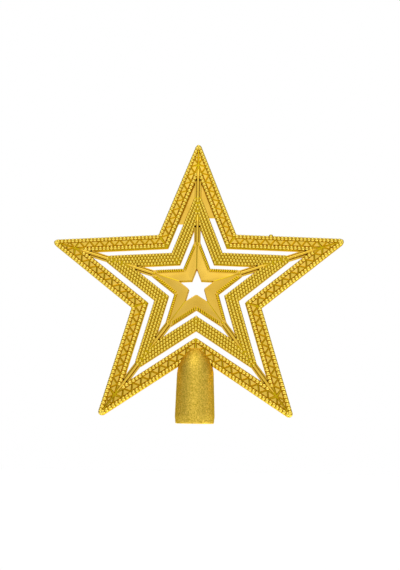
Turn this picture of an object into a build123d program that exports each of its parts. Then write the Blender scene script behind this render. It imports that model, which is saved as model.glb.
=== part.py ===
from build123d import *
import os
from math import acos, ceil, cos, degrees, hypot, pi, sin, tan

# Christmas tree topper: three nested star rings, each a relief front shell on a plain rear shell,
# bridged by ridged spokes and standing on a sleeve with an ogive end. Millimetres, +Z up, front towards -Y,
# origin at the centre of the sleeve's mouth.

# Outline of the star
ARMS = ("top", "upper_left", "lower_left", "lower_right", "upper_right")
POINT_RADIUS = 82.2  # centre to the sharp corner of a point, before it is rounded
NOTCH_RADIUS = 34.6  # centre to the corner between two points
POINT_ROUNDING = 1.7

# Bands and gaps from the outside in, measured square to the star's edges
OUTER_BAND = 7.3
OUTER_GAP = 2.8
MIDDLE_BAND = 6.4
INNER_GAP = 2.45
INNER_BAND = 6.65

# Outer star's relief: heights are above the plane where front and rear shells meet
OUTER_FLOOR = 1.4
OUTER_BEAD_WIDTH = 2.3
OUTER_BEAD_PITCH = 1.94
OUTER_BEAD_CREST = 2.7
TRIANGLE_PITCH = 5.2
TRIANGLE_RISE = 0.7
TRIANGLE_GROOVE = 0.15  # between the triangles and the beads beside them

# Middle star's relief
MIDDLE_FLOOR = 1.4
MIDDLE_ROWS = 4
MIDDLE_BEAD_PITCH = 1.68
MIDDLE_BEAD_CREST = 2.4

# Inner star's relief
HOLE_RIM_HEIGHT = 2.3
FACET_FOOT_HEIGHT = 1.6
ROPE_WIDTH = 1.8
ROPE_PITCH = 1.15
ROPE_CREST = 2.4
ROPE_SLANT = 0.5  # run along the edge for each millimetre across the rope

# Rear shells, and the tongue that keys each one to its front shell
REAR_THICKNESS = 1.8
REAR_CHAMFER = 0.5
REAR_RIM = 1.3
REAR_RECESS = 0.4
TONGUE_WIDTH = 0.8
TONGUE_HEIGHT = 0.6
TONGUE_CLEARANCE = 0.1

# Spokes
SPOKE_WIDTH = 3.4
SPOKE_FLANGE = 1.1
SPOKE_CORE = 1.9
SPOKE_CREST = 0.9
SPOKE_HEIGHT = 2.0
SPOKE_TENON = 2.2  # length that enters the point of the smaller star
SPOKE_REACH = 4.0  # length that passes the inside corner of the larger star
SPOKE_NOSE = 0.7  # width of the blunt end
HOUSING_CLEARANCE = 0.15

# Web in the top point
WEB_THICKNESS = 1.2
WEB_LAP = 1.0
WEB_LEFT_FOOT = 34.5  # height of the left leg's end above the star's centre
WEB_RIGHT_FOOT = 37.9
WEB_CLEARANCE = 0.15

# Sleeve over the tree's leader
BORE_RADIUS = 7.75
BORE_DEPTH = 24.0
MOUTH_RADIUS = 9.35
MOUTH_CHAMFER = 0.5
BELLY_RADIUS = 9.65
BELLY_HEIGHT = 3.5
SHOULDER_RADIUS = 9.1
SLEEVE_LENGTH = 22.7  # mouth to the shoulder, where the ogive end starts
SHOULDER_BELOW_NOTCH = 10.4  # outer star's bottom notch to the shoulder
OGIVE_RADIUS = 18.0
NOSE_RADIUS = 2.5
SLOT_CLEARANCE = 0.15

# Angles and edge distances that follow from the outline
POINTS = len(ARMS)
SECTOR = pi / POINTS
EDGE_LENGTH = hypot(POINT_RADIUS - NOTCH_RADIUS * cos(SECTOR), NOTCH_RADIUS * sin(SECTOR))
OUTER_EDGE = POINT_RADIUS * NOTCH_RADIUS * sin(SECTOR) / EDGE_LENGTH
POINT_LEAN = acos(OUTER_EDGE / POINT_RADIUS)  # edge's normal to the line through the point
NOTCH_LEAN = POINT_LEAN - SECTOR  # edge's normal to the line through the notch
POINT_HALF_ANGLE = pi / 2 - POINT_LEAN
OUTER_INSIDE = OUTER_EDGE - OUTER_BAND
MIDDLE_EDGE = OUTER_INSIDE - OUTER_GAP
MIDDLE_INSIDE = MIDDLE_EDGE - MIDDLE_BAND
INNER_EDGE = MIDDLE_INSIDE - INNER_GAP
HOLE_EDGE = INNER_EDGE - INNER_BAND

FRONT_HEIGHT = max(OUTER_BEAD_CREST, OUTER_FLOOR + TRIANGLE_RISE)
STAR_HEIGHT = SLEEVE_LENGTH + SHOULDER_BELOW_NOTCH + NOTCH_RADIUS
STAR_PLANE = Plane(origin=(0, 0, STAR_HEIGHT), x_dir=(1, 0, 0), z_dir=(0, -1, 0))
TOOL_REACH = POINT_RADIUS  # cutting and trimming tools run past everything by this much


def point_radius(edge):
    """Radius of the sharp point of the star whose edges lie at this distance from the centre."""
    return edge / cos(POINT_LEAN)


def notch_radius(edge):
    return edge / cos(NOTCH_LEAN)


def square_end(edge):
    """Radius where a star's point is as wide as a spoke."""
    return point_radius(edge) - SPOKE_WIDTH / 2 / tan(POINT_HALF_ANGLE)


def star_face(edge):
    """Filled star with sharp corners, first point up."""
    radii = (point_radius(edge), notch_radius(edge))
    corners = []
    for k in range(2 * POINTS):
        angle = pi / 2 + k * SECTOR
        corners.append((radii[k % 2] * cos(angle), radii[k % 2] * sin(angle)))
    return make_face(Polyline(*corners, close=True))


# Half of one point of a ring, in the frame of its edge: X along the edge towards the point, Y outwards


def half_point(inside, edge, end):
    """Plan between two mitre lines: 'round' ends the point in an arc, 'square' as wide as a spoke."""
    toward = (sin(POINT_LEAN), cos(POINT_LEAN))
    across = (-cos(POINT_LEAN), sin(POINT_LEAN))
    inner_notch = (inside * tan(NOTCH_LEAN), inside)
    inner_point = (inside * tan(POINT_LEAN), inside)
    outer_notch = (edge * tan(NOTCH_LEAN), edge)
    if end == "round":
        centre = point_radius(edge) - POINT_ROUNDING / sin(POINT_HALF_ANGLE)
        middle = (centre * toward[0], centre * toward[1])
        half_turn = POINT_LEAN / 2
        tip = ((centre + POINT_ROUNDING) * toward[0], (centre + POINT_ROUNDING) * toward[1])
        crown = (middle[0] + POINT_ROUNDING * sin(half_turn), middle[1] + POINT_ROUNDING * cos(half_turn))
        shoulder = (middle[0], edge)
        closing = ThreePointArc(tip, crown, shoulder)
    else:
        radius = square_end(edge)
        tip = (radius * toward[0], radius * toward[1])
        shoulder = (tip[0] + SPOKE_WIDTH / 2 * across[0], tip[1] + SPOKE_WIDTH / 2 * across[1])
        closing = Line(tip, shoulder)
    sides = Polyline(shoulder, outer_notch, inner_notch, inner_point, tip)
    return make_face([*sides.edges(), *closing.edges()])


def ring(blank, plan):
    """Trim a moulding that runs along one edge to its mitre lines, and repeat it round the star."""
    prism = extrude(plan, amount=TOOL_REACH, both=True)
    left = (blank & prism).rotate(Axis.Z, degrees(POINT_LEAN))
    right = mirror(left, about=Plane.YZ)
    halves = []
    for k in range(POINTS):
        turn = 360 / POINTS * k
        halves += [left.rotate(Axis.Z, turn), right.rotate(Axis.Z, turn)]
    return halves[0].fuse(*halves[1:]).clean()


def moulding(section):
    """Cross-section, as (distance from centre, height) points, run along the edge."""
    face = make_face(Plane.YZ * Polyline(*section, close=True))
    return extrude(face, amount=POINT_RADIUS, dir=(1, 0, 0))


def bead_comb(row, width, pitch, foot, crest, phase=0.0, slant=0.0):
    """Cutter that divides the ridge along the line at this distance from the centre into beads."""
    start = row * tan(NOTCH_LEAN)
    length = row * tan(POINT_LEAN) - start
    count = max(1, round(length / pitch))
    step = length / count
    spare = ceil(width * (tan(POINT_LEAN) + slant) / step) + 1
    teeth = []
    for k in range(-spare, count + spare):
        left = start + (k + phase) * step
        teeth += [(left, foot), (left + step / 2, crest)]
    teeth.append((teeth[-1][0] + step / 2, foot))
    outline = [*teeth, (teeth[-1][0], TOOL_REACH), (teeth[0][0], TOOL_REACH)]
    face = make_face(Plane.XZ * Polyline(*outline, close=True))
    comb = extrude(face, amount=width * hypot(slant, 1), dir=(slant, 1, 0))
    return comb.translate((-slant * width / 2, row - width / 2, 0))


def keyed_seam(inside, edge, width, height):
    """Corners of a tongue or groove on the middle of a band, from the outside in."""
    middle = (inside + edge) / 2
    return [
        (middle + width / 2, 0),
        (middle + width / 2, height),
        (middle - width / 2, height),
        (middle - width / 2, 0),
    ]


def groove(inside, edge):
    return keyed_seam(inside, edge, TONGUE_WIDTH + 2 * TONGUE_CLEARANCE, TONGUE_HEIGHT + TONGUE_CLEARANCE)


def bead_ridge(outer, width, foot, crest):
    """Ridge that becomes a row of beads, from the outside in."""
    return [(outer, foot), (outer - width / 2, crest), (outer - width, foot)]


# Spokes lie along +Y of the star's plane, and turn to their arm


def spoke_plan(small_edge, large_inside, grow=0.0):
    """Plan of a spoke from a star's point to the next star, where it tapers over the inside corner."""
    root = square_end(small_edge)
    shoulder = square_end(large_inside)
    end = point_radius(large_inside) + SPOKE_REACH
    tenon = SPOKE_CORE / 2 + grow
    side = SPOKE_WIDTH / 2 + grow
    nose = SPOKE_NOSE / 2 + grow
    right = [
        (tenon, root - SPOKE_TENON - grow),
        (tenon, root),
        (side, root),
        (side, shoulder),
        (nose, end + grow),
    ]
    left = [(-x, y) for x, y in reversed(right)]
    return make_face(Polyline(*right, *left, close=True))


def spoke(small_edge, large_inside):
    flank = [
        (SPOKE_WIDTH / 2, 0),
        (SPOKE_WIDTH / 2, SPOKE_FLANGE),
        (SPOKE_CORE / 2, SPOKE_FLANGE),
        (SPOKE_CREST / 2, SPOKE_HEIGHT),
    ]
    section = [*flank, *[(-x, h) for x, h in reversed(flank)]]
    face = make_face(Plane.XZ * Polyline(*section, close=True))
    bar = extrude(face, amount=POINT_RADIUS, dir=(0, 1, 0))
    return bar & extrude(spoke_plan(small_edge, large_inside), amount=TOOL_REACH, both=True)


def housing(small_edge, large_inside):
    """Plan of a spoke's housing, turned into the frame of an edge."""
    plan = spoke_plan(small_edge, large_inside, HOUSING_CLEARANCE)
    return plan.rotate(Axis.Z, -degrees(POINT_LEAN))


# Front shells


def outer_star_front():
    bead = OUTER_BEAD_WIDTH
    section = [
        (OUTER_EDGE, 0),
        *bead_ridge(OUTER_EDGE, bead, OUTER_FLOOR, OUTER_BEAD_CREST),
        *bead_ridge(OUTER_INSIDE + bead, bead, OUTER_FLOOR, OUTER_BEAD_CREST),
        (OUTER_INSIDE, 0),
        *reversed(groove(OUTER_INSIDE, OUTER_EDGE)),
    ]
    blank = moulding(section)
    for row in (OUTER_EDGE - bead / 2, OUTER_INSIDE + bead / 2):
        blank -= bead_comb(row, bead, OUTER_BEAD_PITCH, OUTER_FLOOR, OUTER_BEAD_CREST)
    blank += triangle_row(OUTER_INSIDE + bead + TRIANGLE_GROOVE, OUTER_EDGE - bead - TRIANGLE_GROOVE)
    plan = half_point(OUTER_INSIDE, OUTER_EDGE, "round") - housing(MIDDLE_EDGE, OUTER_INSIDE)
    return ring(blank, plan)


def triangle_row(base, apex):
    """Raised triangles on the floor of the channel, with their bases towards the centre."""
    start = base * tan(NOTCH_LEAN)
    length = base * tan(POINT_LEAN) - start
    count = max(1, round(length / TRIANGLE_PITCH))
    step = length / count
    half = step / 2 - TRIANGLE_GROOVE
    spare = ceil((apex - base) * tan(POINT_LEAN) / step)
    blocks = []
    for k in range(count + spare):
        middle = start + (k + 0.5) * step
        outline = Polyline((middle - half, base), (middle + half, base), (middle, apex), close=True)
        blocks.append(extrude(make_face(outline), amount=TRIANGLE_RISE).translate((0, 0, OUTER_FLOOR)))
    return blocks


def middle_star_front():
    row_width = MIDDLE_BAND / MIDDLE_ROWS
    section = [(MIDDLE_EDGE, 0), (MIDDLE_EDGE, MIDDLE_FLOOR)]
    for k in range(MIDDLE_ROWS):
        section += bead_ridge(MIDDLE_EDGE - k * row_width, row_width, MIDDLE_FLOOR, MIDDLE_BEAD_CREST)[1:]
    section += [(MIDDLE_INSIDE, 0), *reversed(groove(MIDDLE_INSIDE, MIDDLE_EDGE))]
    blank = moulding(section)
    for k in range(MIDDLE_ROWS):
        row = MIDDLE_EDGE - (k + 0.5) * row_width
        blank -= bead_comb(row, row_width, MIDDLE_BEAD_PITCH, MIDDLE_FLOOR, MIDDLE_BEAD_CREST, k % 2 / 2)
    plan = half_point(MIDDLE_INSIDE, MIDDLE_EDGE, "square")
    plan -= housing(MIDDLE_EDGE, OUTER_INSIDE)
    plan -= housing(INNER_EDGE, MIDDLE_INSIDE)
    return ring(blank, plan)


def inner_star_front():
    section = [
        (INNER_EDGE, 0),
        *bead_ridge(INNER_EDGE, ROPE_WIDTH, FACET_FOOT_HEIGHT, ROPE_CREST),
        (HOLE_EDGE, HOLE_RIM_HEIGHT),
        (HOLE_EDGE, 0),
        *reversed(groove(HOLE_EDGE, INNER_EDGE)),
    ]
    row = INNER_EDGE - ROPE_WIDTH / 2
    comb = bead_comb(row, ROPE_WIDTH, ROPE_PITCH, FACET_FOOT_HEIGHT, ROPE_CREST, slant=ROPE_SLANT)
    plan = half_point(HOLE_EDGE, INNER_EDGE, "square") - housing(INNER_EDGE, MIDDLE_INSIDE)
    return ring(moulding(section) - comb, plan)


# Rear shells


def rear_shell(inside, edge, end):
    back = -REAR_THICKNESS
    panel = back + REAR_RECESS
    section = [
        (inside, 0),
        *reversed(keyed_seam(inside, edge, TONGUE_WIDTH, TONGUE_HEIGHT)),
        (edge, 0),
        (edge, back + REAR_CHAMFER),
        (edge - REAR_CHAMFER, back),
        (edge - REAR_RIM, back),
        (edge - REAR_RIM - REAR_RECESS, panel),
        (inside + REAR_RIM + REAR_RECESS, panel),
        (inside + REAR_RIM, back),
        (inside + REAR_CHAMFER, back),
        (inside, back + REAR_CHAMFER),
    ]
    return ring(moulding(section), half_point(inside, edge, end))


# Web in the top point, let into both rear shells


def web_plate(grow=0.0):
    """Plate from under the outer star's corner to under the middle star's point."""
    plan = star_face(OUTER_INSIDE + WEB_LAP + grow) - star_face(MIDDLE_EDGE - WEB_LAP - grow)
    reach = POINT_RADIUS
    left = Pos(-reach / 2, WEB_LEFT_FOOT - grow + reach / 2) * Rectangle(reach, reach)
    right = Pos(reach / 2, WEB_RIGHT_FOOT - grow + reach / 2) * Rectangle(reach, reach)
    return extrude(plan & (left + right), amount=-WEB_THICKNESS)


# Sleeve


def socket_sleeve():
    """Revolved tube whose end is a tangent ogive with a small round nose."""
    inset = OGIVE_RADIUS - SHOULDER_RADIUS  # the ogive's centre lies this far past the axis
    lean = acos(inset / (OGIVE_RADIUS - NOSE_RADIUS))  # turn of the ogive up to the nose
    nose_height = SLEEVE_LENGTH + (OGIVE_RADIUS - NOSE_RADIUS) * sin(lean)

    def ogive(angle):
        return (OGIVE_RADIUS * cos(angle) - inset, SLEEVE_LENGTH + OGIVE_RADIUS * sin(angle))

    def nose(angle):
        return (NOSE_RADIUS * cos(angle), nose_height + NOSE_RADIUS * sin(angle))

    apex = (0, nose_height + NOSE_RADIUS)
    profile = [
        Polyline(
            (BORE_RADIUS, 0),
            (MOUTH_RADIUS - MOUTH_CHAMFER, 0),
            (MOUTH_RADIUS, MOUTH_CHAMFER),
            (BELLY_RADIUS, BELLY_HEIGHT),
            (SHOULDER_RADIUS, SLEEVE_LENGTH),
        ),
        ThreePointArc(ogive(0), ogive(lean / 2), ogive(lean)),
        ThreePointArc(ogive(lean), nose((lean + pi / 2) / 2), apex),
        Polyline(apex, (0, BORE_DEPTH), (BORE_RADIUS, BORE_DEPTH), (BORE_RADIUS, 0)),
    ]
    edges = [Plane.XZ * edge for line in profile for edge in line.edges()]
    body = revolve(make_face(edges), Axis.Z)
    depth = REAR_THICKNESS + FRONT_HEIGHT + 2 * SLOT_CLEARANCE
    slot = extrude(star_face(OUTER_EDGE + SLOT_CLEARANCE), amount=depth)
    slot = STAR_PLANE.location * Pos(0, 0, -REAR_THICKNESS - SLOT_CLEARANCE) * slot
    return body - slot


def build():
    web_pocket = web_plate(WEB_CLEARANCE)
    flat = {
        "outer_star_front": outer_star_front(),
        "outer_star_rear": rear_shell(OUTER_INSIDE, OUTER_EDGE, "round") - web_pocket,
        "middle_star_front": middle_star_front(),
        "middle_star_rear": rear_shell(MIDDLE_INSIDE, MIDDLE_EDGE, "square") - web_pocket,
        "inner_star_front": inner_star_front(),
        "inner_star_rear": rear_shell(HOLE_EDGE, INNER_EDGE, "square"),
        "top_web": web_plate(),
    }
    outer_spoke = spoke(MIDDLE_EDGE, OUTER_INSIDE)
    inner_spoke = spoke(INNER_EDGE, MIDDLE_INSIDE)
    for k, arm in enumerate(ARMS):
        turn = 360 / POINTS * k
        flat[f"outer_spoke_{arm}"] = outer_spoke.rotate(Axis.Z, turn)
        flat[f"inner_spoke_{arm}"] = inner_spoke.rotate(Axis.Z, turn)
    nodes = {name: STAR_PLANE.location * solid for name, solid in flat.items()}
    nodes["socket_sleeve"] = socket_sleeve()
    return nodes


os.makedirs("parts", exist_ok=True)
for name, solid in build().items():
    export_step(solid, f"parts/{name}.step")
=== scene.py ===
from collections import namedtuple
from math import acos, ceil, copysign, cos, hypot, pi, radians, sin, tan

import bmesh
import bpy
from mathutils import Euler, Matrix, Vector, noise


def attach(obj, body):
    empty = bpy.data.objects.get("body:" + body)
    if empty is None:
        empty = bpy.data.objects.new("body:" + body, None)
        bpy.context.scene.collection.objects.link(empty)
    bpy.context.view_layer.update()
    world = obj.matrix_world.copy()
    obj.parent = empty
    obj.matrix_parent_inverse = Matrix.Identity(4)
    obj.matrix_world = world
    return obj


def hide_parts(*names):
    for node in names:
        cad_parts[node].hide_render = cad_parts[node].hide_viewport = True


# Gold christmas tree topper: three nested star rings in bead relief on a sandy sleeve with an ogive end.
# Sizes are in millimetres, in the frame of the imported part: +Z up, front towards -Y.

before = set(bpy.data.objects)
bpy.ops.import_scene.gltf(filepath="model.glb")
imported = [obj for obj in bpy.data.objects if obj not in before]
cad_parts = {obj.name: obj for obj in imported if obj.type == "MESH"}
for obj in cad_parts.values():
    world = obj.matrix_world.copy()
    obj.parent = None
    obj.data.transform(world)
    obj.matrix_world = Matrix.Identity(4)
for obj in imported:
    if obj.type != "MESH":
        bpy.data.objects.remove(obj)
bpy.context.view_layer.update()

MM = 0.001
BODY = "root"
WELD_DISTANCE = 0.0005

# Outline and bands of the star, measured square to its edges
ARMS = ("top", "upper_left", "lower_left", "lower_right", "upper_right")
POINT_RADIUS = 82.2
NOTCH_RADIUS = 34.6
POINT_ROUNDING = 1.7
OUTER_BAND = 7.3
OUTER_GAP = 2.8
MIDDLE_BAND = 6.4
INNER_GAP = 2.45
INNER_BAND = 6.65
REAR_THICKNESS = 1.8

# Relief, with heights above the plane where front and rear shells meet
EDGE_ROUNDING = 0.5
ROUNDING_SHARE = 0.45  # most of a section's side that one rounding takes
CORNER_ROUNDING = 1.4  # of the bands' inside corners at the notches
SINK = 0.1  # depth of the triangles' feet and the tongues' ends below the floor
OUTER_FLOOR = 1.4
OUTER_BEAD_WIDTH = 2.3
OUTER_BEAD_PITCH = 1.94
OUTER_BEAD_CREST = 2.45
GATE_STUB_PLACE = 36.9  # along the upper right arm's upper edge
GATE_STUB_SIZE = (1.1, 0.9, 1.1)  # half length, half width and height
GATE_STUB_SINK = 0.5
MIDDLE_FLOOR = 1.4
MIDDLE_ROWS = 4
MIDDLE_BEAD_PITCH = 1.68
MIDDLE_BEAD_CREST = 2.1
HOLE_RIM_HEIGHT = 2.3
FACET_FOOT_HEIGHT = 1.6
CREASE_WIDTH = 0.8
CREASE_RISE = 0.26
ROPE_WIDTH = 1.8
ROPE_PITCH = 1.15
ROPE_CREST = 2.4
ROPE_SLANT = 0.5

# Beads, with the room that they need against their own size
BEAD_FILL = 1.08  # bead against its pitch: neighbours run into each other
BEAD_SQUARENESS = 2.6  # exponent of a bead's outline: 2 is an ellipse
NOTCH_ROOM = 0.4  # least distance from a notch's corner, in pitches
CORNER_BEAD_ROOM = 0.75  # distance of the nearest bead from which the corner gets its own, in pitches
AXIS_ROOM = 0.5  # least distance from the arm's axis, in half widths
TIP_ROOM = 2.0  # least distance from the arm's end, in half lengths
TONGUE_OVERLAP = 0.45  # how far a full bead may reach over a spoke's tongue, in half widths
LEAST_BEAD = 0.4  # narrowest bead beside a tongue, against a full one

# Triangles in the outer star's channel
TRIANGLE_PITCH = 5.2
TRIANGLE_RISE = 0.65
TRIANGLE_LOW = 0.8  # rise of the triangles with their bases outwards, against the others
TRIANGLE_SLOPE = 0.42  # width of a triangle's sloping sides
TRIANGLE_GROOVE = 0.15
TRIANGLE_OVERLAP = 0.25  # how far the triangles reach under the bead borders
LEAST_BREADTH = 0.2  # of a trimmed triangle that is still kept
BEADS_PAST_CORNER = 1.2  # distance past the inside corner where a low plate starts beside the tongue

# Spokes; their shoulder is where the larger star's inside corner is as wide as they are
SPOKE_WIDTH = 3.4
SPOKE_FLANGE = 1.1  # height of the flanges
FLANGE_TUCK = 0.2  # how far the flanges reach into the smaller star
FLANGE_OVERRUN = 1.5  # how far they run on past the shoulder
SPOKE_LIP = 0.65  # width of the flanges' raised edges, with a groove between them and the ridge
LIP_ROUNDING = 0.2
SPOKE_GROOVE = 0.6  # height of that groove's floor
SPOKE_CORE = 1.5  # width of the ridge
SPOKE_HEIGHT = 2.0
SPOKE_SQUARENESS = 0.5  # exponent of the ridge's section: 1 is an ellipse
RIDGE_BOTTOM = 0.1
RIDGE_SINK = 0.2  # depth below the groove's floor where the ridge starts to curve
RIDGE_SETTLE = 0.3  # level stretch next to the tenon
RIDGE_PLAIN = 0.7  # share of the pockets' length along which the ridge keeps its width
SPOKE_TENON = 1.6
TENON_TIP = 0.5  # half width of the tenon's tip
TENON_WAIST = 0.85  # width halfway along the tenon, against the ridge
TENON_DROP = 0.25  # how much lower than the ridge it is there
SPOKE_REACH = 4.0  # of the tongue past the larger star's inside corner
TONGUE_SWELL = 1.15  # width of the tongue at its start, against the ridge
TONGUE_WAIST = 0.8  # the same in its middle
TONGUE_TIP = 0.3  # the same at its end
REAR_FACING = 0.5  # least share of a normal that points to the rear, for the underside
WALL_DEPTH = 0.05  # within which a face counts as an outer wall

# Pockets on both sides of a spoke's end
POCKET_LENGTH = 3.2
POCKET_PLAIN = 0.55  # share of the length that has the full width
POCKET_BOTTOM = 0.05
POCKET_LEAD = 1.0  # how far the cut starts before the shoulder
POCKET_FLARE = 0.1  # extra width at that start
POCKET_TUCK = 0.2  # how far the cut goes under the ridge
POCKET_END = 0.35  # width of the far end
POCKET_FLOOR = 0.35  # top of the spoke's sole, which closes the pockets
SOLE_START = 1.0  # distance of the sole past the shoulder
SOLE_CLEARANCE = 0.02

# Sleeve
BORE_RADIUS = 7.75
BORE_DEPTH = 24.0
MOUTH_RADIUS = 9.35
MOUTH_ROUNDING = 0.5
BELLY_RADIUS = 9.65
BELLY_HEIGHT = 3.5
SHOULDER_RADIUS = 9.1
SLEEVE_LENGTH = 22.7
SHOULDER_BELOW_NOTCH = 10.4
OGIVE_RADIUS = 18.0
NOSE_RADIUS = 2.5
SLOT_CLEARANCE = 0.15
SLEEVE_SIDES = 168
SLEEVE_STEP = 0.45
GRAIN_DEPTH = 0.07
GRAIN_SIZE = 0.8
FINE_GRAIN_DEPTH = 0.5  # against the coarse grain
FINE_GRAIN_SCALE = 2.1

# Angles between faces from which an edge is sharp, in degrees
RELIEF_SHARP = 38
SPOKE_SHARP = 20
FACET_SHARP = 10

# Angles and edge distances that follow from the outline
POINTS = len(ARMS)
SECTOR = pi / POINTS
EDGE_LENGTH = hypot(POINT_RADIUS - NOTCH_RADIUS * cos(SECTOR), NOTCH_RADIUS * sin(SECTOR))
OUTER_EDGE = POINT_RADIUS * NOTCH_RADIUS * sin(SECTOR) / EDGE_LENGTH
POINT_LEAN = acos(OUTER_EDGE / POINT_RADIUS)
NOTCH_LEAN = POINT_LEAN - SECTOR
POINT_HALF_ANGLE = pi / 2 - POINT_LEAN
OUTER_INSIDE = OUTER_EDGE - OUTER_BAND
MIDDLE_EDGE = OUTER_INSIDE - OUTER_GAP
MIDDLE_INSIDE = MIDDLE_EDGE - MIDDLE_BAND
INNER_EDGE = MIDDLE_INSIDE - INNER_GAP
HOLE_EDGE = INNER_EDGE - INNER_BAND
OGIVE_INSET = OGIVE_RADIUS - SHOULDER_RADIUS
OGIVE_TURN = acos(OGIVE_INSET / (OGIVE_RADIUS - NOSE_RADIUS))
NOSE_HEIGHT = SLEEVE_LENGTH + (OGIVE_RADIUS - NOSE_RADIUS) * sin(OGIVE_TURN)
ROUND_END = POINT_RADIUS - POINT_ROUNDING * (1 / sin(POINT_HALF_ANGLE) - 1)
STAR_HEIGHT = SLEEVE_LENGTH + SHOULDER_BELOW_NOTCH + NOTCH_RADIUS

# Metallised plastic: a lighter and a deeper tone of each gold
GRAZING_TINT = (1.0, 0.8, 0.3, 1)  # keeps the metal's colour where it is seen at a flat angle
STAR_TONES = ((0.87, 0.56, 0.085), (0.81, 0.50, 0.06))
BEAD_TONES = ((0.95, 0.71, 0.11), (0.89, 0.66, 0.09))
TRIANGLE_TONES = ((0.95, 0.65, 0.11), (0.89, 0.59, 0.09))
ROPE_TONES = ((0.92, 0.68, 0.03), (0.86, 0.63, 0.02))
SPOKE_TONES = ((0.87, 0.585, 0.07), (0.81, 0.525, 0.05))
SLEEVE_TONES = ((1.0, 0.69, 0.11), (0.48, 0.325, 0.015))
NOISE_RANGE = (0.3, 0.7)  # where most values of a noise texture lie
SMEAR_SIZE = 0.4  # of the smears in the gloss, against the patches of tone

# Painted shade in the relief's hollows and on its low walls: the heights where the shade is full and
# where it ends, and the shade's colour
BEAD_HOLLOW_SHADE = (1.45, 2.15, (0.62, 0.435, 0.008))
ROPE_HOLLOW_SHADE = (1.75, 2.4, (0.60, 0.39, 0.002))
FACET_WALL_SHADE = (0.5, 1.6, (0.28, 0.18, 0.003))
SPOKE_HOLLOW_SHADE = (0.35, 1.0, (0.16, 0.085, 0.001))

# Sockets of the Mix node, for numbers and for colours
MIX_FACTOR = 0
NUMBER_A = 2
NUMBER_B = 3
NUMBER_RESULT = 0
COLOUR_A = 6
COLOUR_B = 7
COLOUR_RESULT = 2

# Studio
FLOOR_DROP = 150.0
FLOOR_SIZE = 4000.0
FLOOR_COLOUR = (0.82, 0.82, 0.82, 1)
FLOOR_ROUGHNESS = 0.9
FLOOR_GLOW = 0.35  # for the camera and in reflections
CAMERA_PLACE = (17.2, -293.0, -3.3)
CAMERA_TURN = (103.86, -0.77, 2.84)  # degrees about X, Y and Z
CAMERA_FOCAL_PIXELS = 590.8
IMAGE_HEIGHT = 570
SENSOR_SIZE = 36.0
CLIP_START = 10.0
AMBIENT = 0.8
ROOM_DIM = 0.32
ROOM_LIGHT = (  # direction, cosines where its glow starts and is full, brightness that it adds
    ((0.0, -0.93, 0.36), 0.8, 0.99, 0.62),
    ((0.0, -0.42, 0.90), 0.7, 0.97, 1.05),
    ((0.95, -0.2, -0.2), 0.5, 0.95, 0.30),
    ((0.3, -0.1, -0.95), 0.5, 0.95, 0.40),
    ((0.0, 1.0, 0.0), 0.75, 0.97, 0.64),
)
LAMPS = {  # place, target, width, depth and brightness against white paper
    "key": ((-350, -450, 600), (0, 0, STAR_HEIGHT), 400, 400, 0.6),
    "under": ((90, 45, -118), (50, 0, 65), 360, 24, 6.0),
}


def point_radius(edge):
    return edge / cos(POINT_LEAN)


def notch_radius(edge):
    return edge / cos(NOTCH_LEAN)


def square_end(edge):
    """Radius where a star's point is as wide as a spoke."""
    return point_radius(edge) - SPOKE_WIDTH / 2 / tan(POINT_HALF_ANGLE)


# Frames: an arm's frame has Y along the arm, an edge's frame has X along its left edge and Y outwards


def from_edge(along, out):
    """Point of an edge's frame in its arm's frame, on the arm's left half."""
    x = along * cos(POINT_LEAN) - out * sin(POINT_LEAN)
    y = along * sin(POINT_LEAN) + out * cos(POINT_LEAN)
    return x, y


def on_arm(x, y, arm):
    turn = 2 * SECTOR * arm
    return x * cos(turn) - y * sin(turn), x * sin(turn) + y * cos(turn)


def to_world(point):
    """Star's frame (right, up, towards the front) to metres in the part's frame."""
    x, y, height = point
    return x * MM, -height * MM, (y + STAR_HEIGHT) * MM


# Meshes


def ring_faces(low, high, count):
    """Quads between two closed loops of points, whose first indices are given."""
    return [[low + k, low + (k + 1) % count, high + (k + 1) % count, high + k] for k in range(count)]


def clean_mesh(name, points, faces):
    """Mesh from points in metres, welded and with its faces turned outwards."""
    mesh = bpy.data.meshes.new(name)
    mesh.from_pydata(points, [], faces)
    welded = bmesh.new()
    welded.from_mesh(mesh)
    bmesh.ops.remove_doubles(welded, verts=welded.verts, dist=WELD_DISTANCE * MM)
    bmesh.ops.recalc_face_normals(welded, faces=welded.faces)
    welded.to_mesh(mesh)
    welded.free()
    return mesh


class Form:
    """Points and faces of one piece, in the star's frame."""

    def __init__(self):
        self.points = []
        self.faces = []

    def add(self, points, faces):
        start = len(self.points)
        self.points += points
        self.faces += [[start + index for index in face] for face in faces]

    def add_on_arm(self, points, faces, arm):
        """Add a form of an arm's frame on one arm."""
        self.add([(*on_arm(x, y, arm), height) for x, y, height in points], faces)

    def add_round_star(self, points, faces, mirrored=True):
        """Repeat a form of an arm's left half on every arm, and on the right halves too."""
        for arm in range(POINTS):
            self.add_on_arm(points, faces, arm)
            if mirrored:
                self.add_on_arm([(-x, y, height) for x, y, height in points], faces, arm)

    def mesh(self, name):
        return clean_mesh(name, [to_world(point) for point in self.points], self.faces)


def new_object(name, data):
    piece = bpy.data.objects.new(name, data)
    bpy.context.scene.collection.objects.link(piece)
    return piece


def cut(piece, tool):
    """Cut a closed tool out of a closed piece, which stays in its first material."""
    modifier = piece.modifiers.new("cut", "BOOLEAN")
    modifier.object = tool
    modifier.solver = "EXACT"
    graph = bpy.context.evaluated_depsgraph_get()
    result = bpy.data.meshes.new_from_object(piece.evaluated_get(graph))
    piece.modifiers.clear()
    for face in result.polygons:
        face.material_index = 0
    piece.data = result
    bpy.data.objects.remove(tool)


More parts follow.
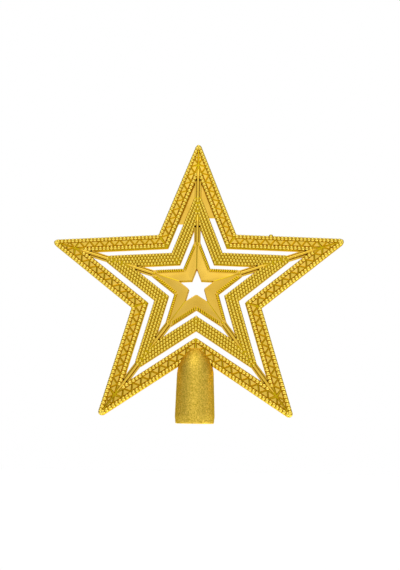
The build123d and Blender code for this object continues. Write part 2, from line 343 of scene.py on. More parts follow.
def join(piece, form, material_index=1):
    """Add a form to a piece, in one of its further materials."""
    extra = form.mesh("relief")
    whole = bmesh.new()
    whole.from_mesh(piece.data)
    band = len(whole.faces)
    whole.from_mesh(extra)
    whole.faces.ensure_lookup_table()
    for face in whole.faces[band:]:
        face.material_index = material_index
    whole.to_mesh(piece.data)
    whole.free()
    bpy.data.meshes.remove(extra)


def finish_piece(piece, node, materials, sharp_angle=RELIEF_SHARP):
    """Give a piece its materials and shading, and its place in the frame."""
    for index, material in enumerate(materials):
        if index < len(piece.data.materials):
            piece.data.materials[index] = material
        else:
            piece.data.materials.append(material)
    piece.data.shade_smooth()
    piece.data.set_sharp_from_angle(angle=radians(sharp_angle))
    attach(piece, BODY)
    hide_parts(node)


# Bands: a section swept round the star


def round_tip(edge):
    """Corner of the outer star's point, from right to left, in an arm's frame."""
    rounding = max(POINT_ROUNDING - (OUTER_EDGE - edge), 0)
    centre = (edge - rounding) / cos(POINT_LEAN)
    steps = 10
    angles = [POINT_LEAN * (1 - 2 * k / steps) for k in range(steps + 1)]
    return [(rounding * sin(angle), centre + rounding * cos(angle)) for angle in angles]


def square_tip(ring_edge):
    """Function for the corners of a star's point that ends as wide as a spoke."""
    end = square_end(ring_edge)

    def corner(edge):
        half = max((point_radius(edge) - end) * tan(POINT_HALF_ANGLE), 0)
        reach = min(point_radius(edge), end)
        return [(half, reach), (-half, reach)]

    return corner


def notch_corner(edge, inside):
    """Corner of a band at the notch on an arm's right, from right to left; inside edges are rounded."""
    rounding = max(CORNER_ROUNDING - (edge - inside), 0)
    centre = notch_radius(edge + rounding)
    corner = []
    steps = 6
    for k in range(steps + 1):
        angle = NOTCH_LEAN * (1 - 2 * k / steps)
        out = centre - rounding * cos(angle)
        aside = rounding * sin(angle)
        corner.append((out * sin(SECTOR) + aside * cos(SECTOR), out * cos(SECTOR) - aside * sin(SECTOR)))
    return corner


def sweep(section, tip):
    """Closed band with this section of (distance from the centre, height) points."""
    inside = min(edge for edge, height in section)
    points = []
    for edge, height in section:
        corner = [*notch_corner(edge, inside), *tip(edge)]
        points += [(*on_arm(x, y, arm), height) for arm in range(POINTS) for x, y in corner]
    count = len(points) // len(section)
    faces = []
    for i in range(len(section)):
        j = (i + 1) % len(section)
        faces += ring_faces(i * count, j * count, count)
    form = Form()
    form.add(points, faces)
    return form


def rounded(section, radius, steps=4):
    """Section with every corner rounded."""
    result = []
    for i, corner in enumerate(section):
        corner = Vector(corner)
        before = Vector(section[i - 1]) - corner
        after = Vector(section[(i + 1) % len(section)]) - corner
        reach = min(radius, before.length * ROUNDING_SHARE, after.length * ROUNDING_SHARE)
        start = corner + before.normalized() * reach
        end = corner + after.normalized() * reach
        for k in range(steps + 1):
            t = k / steps
            result.append(tuple(start * (1 - t) ** 2 + corner * 2 * t * (1 - t) + end * t ** 2))
    return result


def band_section(inside, edge, floor):
    return rounded([(edge, 0), (edge, floor), (inside, floor), (inside, 0)], EDGE_ROUNDING)


# Beads

# One row along the edges: its distance from the centre, the beads' pitch, the share of a pitch by which
# they are moved along, half their width, the heights of their feet and crests, and their slant
Row = namedtuple("Row", "distance pitch phase half_width foot crest slant", defaults=(0.0,))


def dome(along, out, foot, half_length, half_width, height, slant=0.0):
    """Bead in an edge's frame, turned into its arm's frame; its foot is sunk and closed."""
    sides = 12
    levels = [radians(angle) for angle in (-20, 6, 28, 50, 71)]
    power = 2 / BEAD_SQUARENESS
    points = []
    for level in levels:
        for k in range(sides):
            angle = 2 * pi * k / sides
            across = half_width * cos(level) * copysign(abs(sin(angle)) ** power, sin(angle))
            run = half_length * cos(level) * copysign(abs(cos(angle)) ** power, cos(angle))
            place = from_edge(along + run + slant * across, out + across)
            points.append((*place, foot + height * sin(level)))
    points.append((*from_edge(along, out), foot + height))
    faces = [list(range(sides))]
    for row in range(len(levels) - 1):
        faces += ring_faces(row * sides, (row + 1) * sides, sides)
    last = (len(levels) - 1) * sides
    faces += [[last + k, last + (k + 1) % sides, last + sides] for k in range(sides)]
    return points, faces


def tongue_stations(corner):
    """Radius and half width along a spoke's pockets and its tongue over the next star's corner."""
    shoulder = corner - SPOKE_WIDTH / 2 / tan(POINT_HALF_ANGLE)
    return (
        (shoulder + POCKET_LENGTH * POCKET_PLAIN, SPOKE_WIDTH / 2),
        (shoulder + POCKET_LENGTH, SPOKE_CORE / 2 * TONGUE_SWELL),
        (corner + SPOKE_REACH, SPOKE_CORE / 2 * TONGUE_TIP),
    )


def tongue_half_width(radius, corner):
    """Half the width that a spoke's pockets and tongue take up at a radius."""
    stations = tongue_stations(corner)
    if radius <= stations[0][0]:
        return stations[0][1]
    for (low, low_half), (high, high_half) in zip(stations, stations[1:]):
        if radius <= high:
            return low_half + (radius - low) / (high - low) * (high_half - low_half)
    return 0.0


def bead_rows(form, rows, inside, tip_end):
    """Rows of beads in step along the edges, narrowed where a spoke's tongue needs the room."""
    corner = point_radius(inside)
    for row in rows:
        half_length = row.pitch / 2 * BEAD_FILL
        height = row.crest - row.foot
        shape = (row.foot, half_length, row.half_width, height, row.slant)
        first = row.distance * tan(NOTCH_LEAN)
        last = row.distance * tan(POINT_LEAN)
        nearest = row.pitch
        for k in range(ceil(first / row.pitch), ceil(last / row.pitch)):
            along = (k + row.phase) * row.pitch
            x, y = from_edge(along, row.distance)
            from_notch = (along - first) * cos(NOTCH_LEAN)
            if from_notch < row.pitch * NOTCH_ROOM or -x < row.half_width * AXIS_ROOM:
                continue
            if y > tip_end - TIP_ROOM * half_length:
                continue
            free = min((-x - tongue_half_width(y, corner)) / row.half_width + TONGUE_OVERLAP, 1)
            if free < LEAST_BEAD:
                continue
            nearest = min(nearest, from_notch)
            half_width = row.half_width * free
            out = row.distance + row.half_width - half_width
            form.add_round_star(*dome(along, out, row.foot, half_length, half_width, height, row.slant))
        if nearest > row.pitch * CORNER_BEAD_ROOM:
            form.add_round_star(*dome(first, row.distance, *shape), mirrored=False)
        tip = min(point_radius(row.distance), tip_end - row.half_width)
        if tip > corner + SPOKE_REACH:
            tip_bead = dome(tip * sin(POINT_LEAN), tip * cos(POINT_LEAN), *shape)
            form.add_round_star(*tip_bead, mirrored=False)


# Plates: flat tops over outlines of straight sides


def keep_side(outline, origin, normal):
    """Part of a convex outline on the side of a line that the normal points to."""
    kept = []
    for i, b in enumerate(outline):
        a = outline[i - 1]
        depth_a = (a[0] - origin[0]) * normal[0] + (a[1] - origin[1]) * normal[1]
        depth_b = (b[0] - origin[0]) * normal[0] + (b[1] - origin[1]) * normal[1]
        if depth_a * depth_b < 0:
            t = depth_a / (depth_a - depth_b)
            kept.append((a[0] + t * (b[0] - a[0]), a[1] + t * (b[1] - a[1])))
        if depth_b >= 0:
            kept.append(b)
    return kept


def shrunk(outline, inset):
    """Convex counter-clockwise outline with its sides moved inwards."""
    result = []
    for i, corner in enumerate(outline):
        before = (Vector(corner) - Vector(outline[i - 1])).normalized()
        after = (Vector(outline[(i + 1) % len(outline)]) - Vector(corner)).normalized()
        aside = Vector((-before.y - after.y, before.x + after.x))
        result.append(tuple(Vector(corner) + aside * inset / (1 + before.dot(after))))
    return result


def without_short_sides(outline, least):
    """Outline without the corners that end a side shorter than this."""
    kept = []
    for corner in outline:
        if not kept or hypot(corner[0] - kept[-1][0], corner[1] - kept[-1][1]) > least:
            kept.append(corner)
    while len(kept) > 1 and hypot(kept[0][0] - kept[-1][0], kept[0][1] - kept[-1][1]) <= least:
        kept.pop()
    return kept


def breadth(outline):
    """Twice a convex outline's area over its perimeter: a triangle's inner radius."""
    area = 0
    perimeter = 0
    for i, (x, y) in enumerate(outline):
        last_x, last_y = outline[i - 1]
        area += last_x * y - x * last_y
        perimeter += hypot(x - last_x, y - last_y)
    return area / perimeter


def plate(outline, foot, top, inset=0.0):
    """Flat-topped plate over an outline, whose sides slope where the top has an inset."""
    count = len(outline)
    points = [(x, y, foot) for x, y in outline] + [(x, y, top) for x, y in shrunk(outline, inset)]
    ends = [list(range(count)), list(range(count, 2 * count))]
    return points, ends + ring_faces(0, count, count)


def zigzag(start, step, count, base, apex):
    """Outlines and top heights of triangles in an edge's frame, by turns with their bases out and in."""
    half = step / 2 - TRIANGLE_GROOVE
    triangles = []
    for k in range(count):
        middle = start + k * step / 2
        if k % 2 == 0:
            outline = [(middle + half, apex), (middle - half, apex), (middle, base)]
            triangles.append((outline, OUTER_FLOOR + TRIANGLE_RISE * TRIANGLE_LOW))
        else:
            outline = [(middle + half, base), (middle, apex), (middle - half, base)]
            triangles.append((outline, OUTER_FLOOR + TRIANGLE_RISE))
    return triangles


def trimmed(outline, start, base):
    """Outline of an edge's frame in its arm's frame, clear of the axis, the notch and the tongue."""
    (low, low_half), (high, high_half) = tongue_stations(point_radius(OUTER_INSIDE))[1:]
    outline = [from_edge(along, out) for along, out in outline]
    outline = keep_side(outline, (-TRIANGLE_GROOVE, 0), (-1, 0))
    notch = from_edge(start + TRIANGLE_GROOVE, base)
    outline = keep_side(outline, notch, (cos(SECTOR), sin(SECTOR)))
    outline = keep_side(outline, (-high_half, high), (low - high, low_half - high_half))
    return without_short_sides(outline, 2 * TRIANGLE_SLOPE)


def channel_plates(form):
    """Triangles along the outer star's channel, and a low plate beside each tongue."""
    base = OUTER_INSIDE + OUTER_BEAD_WIDTH - TRIANGLE_OVERLAP
    apex = OUTER_EDGE - OUTER_BEAD_WIDTH + TRIANGLE_OVERLAP
    start = base * tan(NOTCH_LEAN)
    end = base * tan(POINT_LEAN)
    pairs = round((end - start) / TRIANGLE_PITCH)
    step = (end - start) / pairs
    spare = ceil((apex - base) * tan(POINT_LEAN) / step)
    plates = zigzag(start, step, 2 * (pairs + spare) + 1, base, apex)
    corner = point_radius(OUTER_INSIDE)
    last_bead = (corner + BEADS_PAST_CORNER - base * cos(POINT_LEAN)) / sin(POINT_LEAN)
    beside = [(last_bead, OUTER_INSIDE), (end, OUTER_INSIDE), (end, base), (last_bead, base)]
    plates.append((beside, OUTER_FLOOR + TRIANGLE_RISE * TRIANGLE_LOW / 2))
    for outline, top in plates:
        outline = trimmed(outline, start, base)
        if len(outline) < 3 or breadth(outline) < LEAST_BREADTH:
            continue
        slope = min(TRIANGLE_SLOPE, breadth(outline) / 2)
        form.add_round_star(*plate(outline, OUTER_FLOOR - SINK, top, slope))


def pockets(inside):
    """Tools for the hollows on both sides of a spoke, where it reaches the next star's inside corner."""
    shoulder = square_end(inside)
    near = shoulder - POCKET_LEAD
    far = shoulder + POCKET_LENGTH
    inner = SPOKE_CORE / 2 - POCKET_TUCK
    outer = SPOKE_WIDTH / 2
    outline = [
        (-inner, near),
        (-inner, far),
        (-inner - POCKET_END, far),
        (-outer, shoulder + POCKET_LENGTH * POCKET_PLAIN),
        (-outer - POCKET_FLARE, near),
    ]
    form = Form()
    form.add_round_star(*plate(outline, POCKET_BOTTOM, OUTER_BEAD_CREST))
    return new_object("pockets", form.mesh("pockets"))


# Bars: sections lofted along an arm


def loft(form, stations):
    """Closed bar through half sections of (half width, height) points, one for each radius."""
    points = []
    for radius, half in stations:
        whole = [*half, *[(-x, height) for x, height in reversed(half) if x > 0]]
        points += [(x, radius, height) for x, height in whole]
    count = len(points) // len(stations)
    last = len(points) - count
    faces = [list(range(count)), list(range(last, last + count))]
    for i in range(len(stations) - 1):
        faces += ring_faces(i * count, (i + 1) * count, count)
    form.add(points, faces)


# Front shells


def outer_star():
    section = band_section(OUTER_INSIDE, OUTER_EDGE, OUTER_FLOOR)
    piece = new_object("star_outer_front", sweep(section, round_tip).mesh("star_outer_front"))
    cut(piece, pockets(OUTER_INSIDE))
    relief = Form()
    half = OUTER_BEAD_WIDTH / 2
    border = Row(OUTER_EDGE - half, OUTER_BEAD_PITCH, 0.0, half, OUTER_FLOOR, OUTER_BEAD_CREST)
    inside_border = border._replace(distance=OUTER_INSIDE + half, phase=0.5)
    bead_rows(relief, [border, inside_border], OUTER_INSIDE, ROUND_END)
    gate_stub = dome(GATE_STUB_PLACE, OUTER_EDGE, OUTER_FLOOR - GATE_STUB_SINK, *GATE_STUB_SIZE)
    relief.add_on_arm(*gate_stub, ARMS.index("upper_right"))
    join(piece, relief)
    channel = Form()
    channel_plates(channel)
    join(piece, channel, material_index=2)
    return piece


def middle_star():
    section = band_section(MIDDLE_INSIDE, MIDDLE_EDGE, MIDDLE_FLOOR)
    form = sweep(section, square_tip(MIDDLE_EDGE))
    piece = new_object("star_middle_front", form.mesh("star_middle_front"))
    cut(piece, pockets(MIDDLE_INSIDE))
    relief = Form()
    width = MIDDLE_BAND / MIDDLE_ROWS
    half = width / 2 * BEAD_FILL
    rows = []
    for k in range(MIDDLE_ROWS):
        distance = MIDDLE_EDGE - (k + 0.5) * width
        phase = k % 2 / 2
        rows.append(Row(distance, MIDDLE_BEAD_PITCH, phase, half, MIDDLE_FLOOR, MIDDLE_BEAD_CREST))
    bead_rows(relief, rows, MIDDLE_INSIDE, square_end(MIDDLE_EDGE) + MIDDLE_BEAD_PITCH / 2)
    join(piece, relief)
    return piece


def creases(form):
    """Fine ridges from the hole's points to the star's points, where the facets meet."""
    side = CREASE_WIDTH / 2
    stations = []
    for edge, height in ((HOLE_EDGE, HOLE_RIM_HEIGHT), (INNER_EDGE - ROPE_WIDTH, FACET_FOOT_HEIGHT)):
        section = [
            (side, height - 2 * CREASE_RISE),
            (side / 2, height + CREASE_RISE / 2),
            (0, height + CREASE_RISE),
        ]
        stations.append((point_radius(edge), section))
    ridge = Form()
    loft(ridge, stations)
    form.add_round_star(ridge.points, ridge.faces, mirrored=False)


def inner_star():
    section = [
        (INNER_EDGE, 0),
        (INNER_EDGE, FACET_FOOT_HEIGHT),
        (INNER_EDGE - ROPE_WIDTH, FACET_FOOT_HEIGHT),
        (HOLE_EDGE, HOLE_RIM_HEIGHT),
        (HOLE_EDGE, 0),
    ]
    form = sweep(rounded(section, EDGE_ROUNDING), square_tip(INNER_EDGE))
    piece = new_object("star_inner_front", form.mesh("star_inner_front"))
    relief = Form()
    creases(relief)
    half = ROPE_WIDTH / 2
    rope = Row(INNER_EDGE - half, ROPE_PITCH, 0.0, half, FACET_FOOT_HEIGHT, ROPE_CREST, ROPE_SLANT)
    bead_rows(relief, [rope], HOLE_EDGE, square_end(INNER_EDGE))
    join(piece, relief)
    return piece


# Spokes


def add_flanges(form, root, shoulder):
    """Low bar with a raised lip along each side and a groove between the lip and the ridge."""
    side = SPOKE_WIDTH / 2
    section = [
        (side, 0),
        (side, SPOKE_FLANGE - LIP_ROUNDING),
        (side - LIP_ROUNDING / 3, SPOKE_FLANGE - LIP_ROUNDING / 3),
        (side - LIP_ROUNDING, SPOKE_FLANGE),
        (side - SPOKE_LIP + LIP_ROUNDING / 2, SPOKE_FLANGE),
        (side - SPOKE_LIP, SPOKE_GROOVE),
        (0, SPOKE_GROOVE),
    ]
    loft(form, [(root - FLANGE_TUCK, section), (shoulder + FLANGE_OVERRUN, section)])


def add_sole(form, shoulder, corner):
    """Thin plate that closes the pockets from below."""
    stations = []
    for radius, half_width in ((shoulder + SOLE_START, SPOKE_WIDTH / 2), *tongue_stations(corner)[:2]):
        half = half_width - SOLE_CLEARANCE
        stations.append((radius, [(half, 0), (half, POCKET_FLOOR), (0, POCKET_FLOOR)]))
    loft(form, stations)


def add_ridge(form, root, shoulder, corner):
    """Round ridge from a tenon in the smaller star to a tongue over the larger star's inside corner."""
    half = SPOKE_CORE / 2
    start = shoulder + POCKET_LENGTH
    end = corner + SPOKE_REACH
    profile = [  # radius, half width and height
        (root - SPOKE_TENON, TENON_TIP, OUTER_FLOOR - 2 * SINK),
        (root - SPOKE_TENON / 2, half * TENON_WAIST, SPOKE_HEIGHT - TENON_DROP),
        (root, half, SPOKE_HEIGHT),
        (root + RIDGE_SETTLE, half, SPOKE_HEIGHT),
        (shoulder + POCKET_LENGTH * RIDGE_PLAIN, half, SPOKE_HEIGHT),
        (start, half * TONGUE_SWELL, SPOKE_HEIGHT),
        ((start + end) / 2, half * TONGUE_WAIST, SPOKE_HEIGHT),
        (end, half * TONGUE_TIP, OUTER_FLOOR - SINK),
    ]
    foot = SPOKE_GROOVE - RIDGE_SINK
    steps = 8
    stations = []
    for radius, half_width, height in profile:
        section = [(half_width, RIDGE_BOTTOM)]
        for k in range(steps):
            angle = pi / 2 * k / steps
            rise = (height - foot) * sin(angle) ** SPOKE_SQUARENESS
            section.append((half_width * cos(angle) ** SPOKE_SQUARENESS, foot + rise))
        section.append((0, height))
        stations.append((radius, section))
    loft(form, stations)


def spoke(small_edge, large_inside):
    """Bar along +Y from the point of a star to the inside corner of the next larger one."""
    root = square_end(small_edge)
    shoulder = square_end(large_inside)
    corner = point_radius(large_inside)
    form = Form()
    add_flanges(form, root, shoulder)
    add_sole(form, shoulder, corner)
    add_ridge(form, root, shoulder, corner)
    return form


def plain_outside(piece, arm):
    """Second material for a spoke's underside and outer walls."""
    for face in piece.data.polygons:
        x, y = face.center.x / MM, face.center.z / MM - STAR_HEIGHT
        aside = abs(on_arm(x, y, -arm)[0])
        if face.normal.y > REAR_FACING or aside > SPOKE_WIDTH / 2 - WALL_DEPTH:
            face.material_index = 1


def make_spokes(prefix, small_edge, large_inside, materials):
    bar = spoke(small_edge, large_inside)
    for arm, name in enumerate(ARMS):
        form = Form()
        form.add_on_arm(bar.points, bar.faces, arm)
        node = f"{prefix}_spoke_{name}"
        piece = new_object(f"spoke_{prefix}_{name}", form.mesh(node))
        plain_outside(piece, arm)
        finish_piece(piece, node, materials, SPOKE_SHARP)


# Sleeve


def sleeve_profile():
    """Radius and height from the bore's mouth over the outside to the nose, without its apex."""
    profile = [(BORE_RADIUS, MOUTH_ROUNDING / 2), (BORE_RADIUS + MOUTH_ROUNDING / 2, 0)]
    steps = 5
    for k in range(steps + 1):
        angle = pi / 2 * k / steps
        radius = MOUTH_RADIUS - MOUTH_ROUNDING * (1 - sin(angle))
        profile.append((radius, MOUTH_ROUNDING * (1 - cos(angle))))
    for start, end in (((MOUTH_RADIUS, MOUTH_ROUNDING), (BELLY_RADIUS, BELLY_HEIGHT)),
                       ((BELLY_RADIUS, BELLY_HEIGHT), (SHOULDER_RADIUS, SLEEVE_LENGTH))):
        steps = ceil((end[1] - start[1]) / SLEEVE_STEP)
        for k in range(1, steps + 1):
            t = k / steps
            profile.append((start[0] + t * (end[0] - start[0]), start[1] + t * (end[1] - start[1])))
    steps = ceil(OGIVE_RADIUS * OGIVE_TURN / SLEEVE_STEP)
    for k in range(1, steps + 1):
        angle = OGIVE_TURN * k / steps
        radius = OGIVE_RADIUS * cos(angle) - OGIVE_INSET
        profile.append((radius, SLEEVE_LENGTH + OGIVE_RADIUS * sin(angle)))
    steps = ceil(NOSE_RADIUS * (pi / 2 - OGIVE_TURN) / SLEEVE_STEP)
    for k in range(1, steps):
        angle = OGIVE_TURN + (pi / 2 - OGIVE_TURN) * k / steps
        profile.append((NOSE_RADIUS * cos(angle), NOSE_HEIGHT + NOSE_RADIUS * sin(angle)))
    return profile


def grain(x, y, z):
    """How far a point of the sleeve's outside is pushed out, for its sandy finish."""
    place = Vector((x, y, z)) / GRAIN_SIZE
    swell = noise.noise(place) + FINE_GRAIN_DEPTH * noise.noise(place * FINE_GRAIN_SCALE)
    return GRAIN_DEPTH * swell


def star_slot():
    """Tool for the slot that lets the outer star into the sleeve."""
    edge = OUTER_EDGE + SLOT_CLEARANCE
    outline = []
    for arm in range(POINTS):
        outline.append(on_arm(0, point_radius(edge), arm))
        outline.append(on_arm(-notch_radius(edge) * sin(SECTOR), notch_radius(edge) * cos(SECTOR), arm))
    form = Form()
    form.add(*plate(outline, -REAR_THICKNESS - SLOT_CLEARANCE, OUTER_BEAD_CREST + SLOT_CLEARANCE))
    return new_object("slot", form.mesh("slot"))


def sleeve():
    profile = sleeve_profile()
    angles = [2 * pi * k / SLEEVE_SIDES for k in range(SLEEVE_SIDES)]
    circle = [(cos(angle), sin(angle)) for angle in angles]
    points = []
    for radius, height in profile:
        for right, back in circle:
            x, y = radius * right, radius * back
            push = 1 + (grain(x, y, height) / radius if height > MOUTH_ROUNDING else 0)
            points.append((x * push * MM, y * push * MM, height * MM))
    apex = len(points)
    points.append((0, 0, (NOSE_HEIGHT + NOSE_RADIUS) * MM))
    bore = len(points)
    points += [(BORE_RADIUS * x * MM, BORE_RADIUS * y * MM, BORE_DEPTH * MM) for x, y in circle]
    faces = [list(range(bore, bore + SLEEVE_SIDES))]
    for row in range(len(profile) - 1):
        faces += ring_faces(row * SLEEVE_SIDES, (row + 1) * SLEEVE_SIDES, SLEEVE_SIDES)
    last = apex - SLEEVE_SIDES
    faces += [[last + k, last + (k + 1) % SLEEVE_SIDES, apex] for k in range(SLEEVE_SIDES)]
    faces += ring_faces(bore, 0, SLEEVE_SIDES)
    piece = new_object("sleeve", clean_mesh("sleeve", points, faces))
    cut(piece, star_slot())
    return piece


# Materials


def shader_node(tree, kind, **settings):
    """New node with these attributes; a setting that starts with in_ is the value of an input."""
    new = tree.nodes.new(kind)
    for key, value in settings.items():
        if key.startswith("in_"):
            name = key.removeprefix("in_")
            new.inputs[int(name) if name.isdigit() else name].default_value = value
        else:
            setattr(new, key, value)
    return new


def new_material(name):
    material = bpy.data.materials.new(name)
    material.use_nodes = True
    tree = material.node_tree
    shader = tree.nodes["Principled BSDF"]
    return material, tree, shader


def noise_texture(tree, place, size, detail):
    """Noise with features of about this size in millimetres."""
    texture = shader_node(tree, "ShaderNodeTexNoise", in_Scale=1 / (size * MM), in_Detail=detail)
    tree.links.new(place.outputs["Object"], texture.inputs["Vector"])
    return texture.outputs["Fac"]


def noise_colour(tree, value, light, deep):
    """Colour that goes from the deep to the light tone with a noise texture."""
    ramp = shader_node(tree, "ShaderNodeValToRGB")
    for element, position, colour in zip(ramp.color_ramp.elements, NOISE_RANGE, (deep, light)):
        element.position = position
        element.color = (*colour, 1)
    tree.links.new(value, ramp.inputs["Fac"])
    return ramp.outputs["Color"]


def noise_number(tree, value, low, high):
    """Number that goes from low to high with a noise texture."""
    scale = shader_node(tree, "ShaderNodeMapRange")
    scale.inputs["From Min"].default_value = NOISE_RANGE[0]
    scale.inputs["From Max"].default_value = NOISE_RANGE[1]
    scale.inputs["To Min"].default_value = low
    scale.inputs["To Max"].default_value = high
    tree.links.new(value, scale.inputs["Value"])
    return scale.outputs["Result"]


def painted_hollow_shade(tree, place, colour, low, high, shade_colour):
    """Painted shade: colour that turns into a shade colour as the relief falls from the high to the low
    level.
    """
    split = shader_node(tree, "ShaderNodeSeparateXYZ")
    tree.links.new(place.outputs["Object"], split.inputs["Vector"])
    level = shader_node(tree, "ShaderNodeMapRange")
    level.inputs["From Min"].default_value = -low * MM
    level.inputs["From Max"].default_value = -high * MM
    tree.links.new(split.outputs["Y"], level.inputs["Value"])
    blend = shader_node(tree, "ShaderNodeMix", data_type="RGBA")
    blend.inputs[COLOUR_A].default_value = (*shade_colour, 1)
    tree.links.new(level.outputs["Result"], blend.inputs[MIX_FACTOR])
    tree.links.new(colour, blend.inputs[COLOUR_B])
    return blend.outputs[COLOUR_RESULT]


def gold(
    name,
    tones,
    hollow_shade=None,
    roughness=0.2,
    spread=0.05,
    patch_size=9.0,
    grain_size=0.5,
    grain_depth=0.006,
):
    """Metallised plastic: patches of tone, uneven gloss and a moulded grain, with painted shade in
    hollows.
    """
    material, tree, shader = new_material(name)
    shader.inputs["Metallic"].default_value = 1.0
    shader.inputs["Specular Tint"].default_value = GRAZING_TINT
    place = shader_node(tree, "ShaderNodeTexCoord")
    patches = noise_texture(tree, place, patch_size, detail=3.0)
    colour = noise_colour(tree, patches, *tones)
    if hollow_shade:
        colour = painted_hollow_shade(tree, place, colour, *hollow_shade)
    tree.links.new(colour, shader.inputs["Base Color"])
    smears = noise_texture(tree, place, patch_size * SMEAR_SIZE, detail=2.0)
    gloss = noise_number(tree, smears, roughness - spread, roughness + spread)
    tree.links.new(gloss, shader.inputs["Roughness"])
    relief = noise_texture(tree, place, grain_size, detail=1.0)
    bump = shader_node(tree, "ShaderNodeBump", in_Strength=1.0, in_Distance=grain_depth * MM)
    tree.links.new(relief, bump.inputs["Height"])
    tree.links.new(bump.outputs["Normal"], shader.inputs["Normal"])
    return material


# Stage, light and camera


def either(tree, one, other):
    """1 where one of two yes-or-no values is 1."""
    both = shader_node(tree, "ShaderNodeMath", operation="MAXIMUM")
    tree.links.new(one, both.inputs[0])
    tree.links.new(other, both.inputs[1])
    return both.outputs["Value"]


def in_reflections(tree, light_path):
    """1 for rays that come from metal or through glass."""
    return either(tree, light_path.outputs["Is Glossy Ray"], light_path.outputs["Is Transmission Ray"])


def make_floor():
    half = FLOOR_SIZE / 2 * MM
    level = -FLOOR_DROP * MM
    corners = [(-half, -half, level), (half, -half, level), (half, half, level), (-half, half, level)]
    mesh = bpy.data.meshes.new("floor")
    mesh.from_pydata(corners, [], [[0, 1, 2, 3]])
    floor = new_object("floor", mesh)
    material, tree, shader = new_material("floor_white")
    shader.inputs["Base Color"].default_value = FLOOR_COLOUR
    shader.inputs["Roughness"].default_value = FLOOR_ROUGHNESS
    light_path = shader_node(tree, "ShaderNodeLightPath")
    seen = either(tree, light_path.outputs["Is Camera Ray"], in_reflections(tree, light_path))
    lift = shader_node(tree, "ShaderNodeMath", operation="MULTIPLY", in_1=FLOOR_GLOW)
    tree.links.new(seen, lift.inputs[0])
    glow = shader_node(tree, "ShaderNodeEmission", in_Color=(1, 1, 1, 1))
    tree.links.new(lift.outputs["Value"], glow.inputs["Strength"])
    both = shader_node(tree, "ShaderNodeAddShader")
    tree.links.new(shader.outputs["BSDF"], both.inputs[0])
    tree.links.new(glow.outputs["Emission"], both.inputs[1])
    tree.links.new(both.outputs["Shader"], tree.nodes["Material Output"].inputs["Surface"])
    mesh.materials.append(material)


def lobe(tree, direction, axis, start, end, gain):
    """Brightness around an axis, which rises as the direction's cosine to it goes from start to end."""
    facing = shader_node(tree, "ShaderNodeVectorMath", operation="DOT_PRODUCT")
    facing.inputs[1].default_value = Vector(axis).normalized()
    tree.links.new(direction, facing.inputs[0])
    glow = shader_node(tree, "ShaderNodeMapRange", interpolation_type="SMOOTHSTEP")
    glow.inputs["From Min"].default_value = start
    glow.inputs["From Max"].default_value = end
    glow.inputs["To Max"].default_value = gain
    tree.links.new(facing.outputs["Value"], glow.inputs["Value"])
    return glow.outputs["Result"]


def room_light(tree):
    """Brightness of the room: a dim level, and the glow of every light in it."""
    direction = shader_node(tree, "ShaderNodeTexCoord").outputs["Generated"]
    room = None
    for light in ROOM_LIGHT:
        total = shader_node(tree, "ShaderNodeMath", operation="ADD")
        tree.links.new(lobe(tree, direction, *light), total.inputs[0])
        if room:
            tree.links.new(room, total.inputs[1])
        else:
            total.inputs[1].default_value = ROOM_DIM
        room = total.outputs["Value"]
    return room


def make_world():
    """White for the camera, the room for metal and glass, and an even light for the rest."""
    world = bpy.data.worlds.new("studio")
    bpy.context.scene.world = world
    world.use_nodes = True
    tree = world.node_tree
    background = tree.nodes["Background"]
    background.inputs["Color"].default_value = (1, 1, 1, 1)
    light_path = shader_node(tree, "ShaderNodeLightPath")
    around = shader_node(tree, "ShaderNodeMix")
    around.inputs[NUMBER_A].default_value = AMBIENT
    tree.links.new(in_reflections(tree, light_path), around.inputs[MIX_FACTOR])
    tree.links.new(room_light(tree), around.inputs[NUMBER_B])
    seen = shader_node(tree, "ShaderNodeMix")
    seen.inputs[NUMBER_B].default_value = 1.0
    tree.links.new(light_path.outputs["Is Camera Ray"], seen.inputs[MIX_FACTOR])
    tree.links.new(around.outputs[NUMBER_RESULT], seen.inputs[NUMBER_A])
    tree.links.new(seen.outputs[NUMBER_RESULT], background.inputs["Strength"])


def add_lamp(name, place, target, width, depth, radiance):
    """Soft lamp that looks this many times as bright as white paper."""
    lamp = bpy.data.lights.new(name, "AREA")
    lamp.shape = "RECTANGLE"
    lamp.size = width * MM
    lamp.size_y = depth * MM
    lamp.energy = radiance * pi * lamp.size * lamp.size_y
    holder = new_object(name, lamp)
    holder.visible_camera = False
    holder.location = Vector(place) * MM
    aim = (Vector(target) - Vector(place)).to_track_quat("-Z", "Y")
    holder.rotation_euler = aim.to_euler()


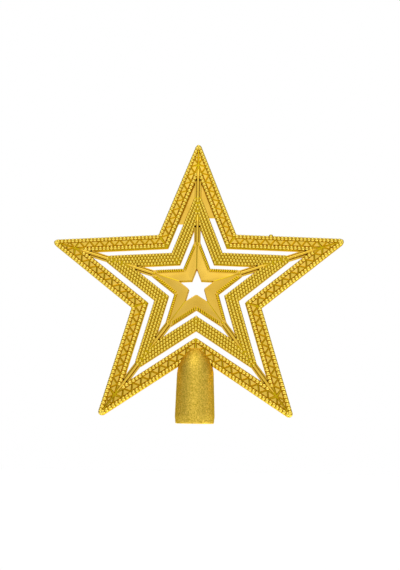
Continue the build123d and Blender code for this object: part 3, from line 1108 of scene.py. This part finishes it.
def make_camera():
    data = bpy.data.cameras.new("camera")
    data.sensor_width = SENSOR_SIZE
    data.lens = CAMERA_FOCAL_PIXELS / IMAGE_HEIGHT * SENSOR_SIZE
    data.clip_start = CLIP_START * MM
    camera = new_object("camera", data)
    camera.location = Vector(CAMERA_PLACE) * MM
    camera.rotation_euler = Euler([radians(angle) for angle in CAMERA_TURN])
    bpy.context.scene.camera = camera


# Pieces with their materials, then the stage

star_gold = gold("star_gold", STAR_TONES)
# The facet, bead, triangle, rope and spoke golds get painted shade in their hollows and on low walls
facet_gold = gold("facet_gold", STAR_TONES, FACET_WALL_SHADE)
bead_gold = gold("bead_gold", BEAD_TONES, BEAD_HOLLOW_SHADE, roughness=0.22)
triangle_gold = gold("triangle_gold", TRIANGLE_TONES, BEAD_HOLLOW_SHADE)
rope_gold = gold("rope_gold", ROPE_TONES, ROPE_HOLLOW_SHADE, roughness=0.16)
spoke_gold = gold("spoke_gold", SPOKE_TONES, SPOKE_HOLLOW_SHADE)
back_gold = gold(
    "back_gold",
    STAR_TONES,
    roughness=0.3,
    spread=0.06,
    patch_size=12.0,
    grain_size=0.6,
    grain_depth=0.01,
)
sleeve_gold = gold(
    "sleeve_gold",
    SLEEVE_TONES,
    roughness=0.44,
    spread=0.06,
    patch_size=0.6,
    grain_size=0.45,
    grain_depth=0.18,
)

finish_piece(outer_star(), "outer_star_front", [bead_gold, bead_gold, triangle_gold])
finish_piece(middle_star(), "middle_star_front", [bead_gold, bead_gold])
finish_piece(inner_star(), "inner_star_front", [facet_gold, rope_gold], FACET_SHARP)
make_spokes("outer", MIDDLE_EDGE, OUTER_INSIDE, [spoke_gold, star_gold])
make_spokes("inner", INNER_EDGE, MIDDLE_INSIDE, [spoke_gold, star_gold])
finish_piece(sleeve(), "socket_sleeve", [sleeve_gold])
for name in ("outer_star_rear", "middle_star_rear", "inner_star_rear", "top_web"):
    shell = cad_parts[name].data
    shell.materials.clear()
    shell.materials.append(star_gold if name == "top_web" else back_gold)

make_floor()
make_world()
for name, settings in LAMPS.items():
    add_lamp(name, *settings)
make_camera()
bpy.context.scene.view_settings.view_transform = "Standard"
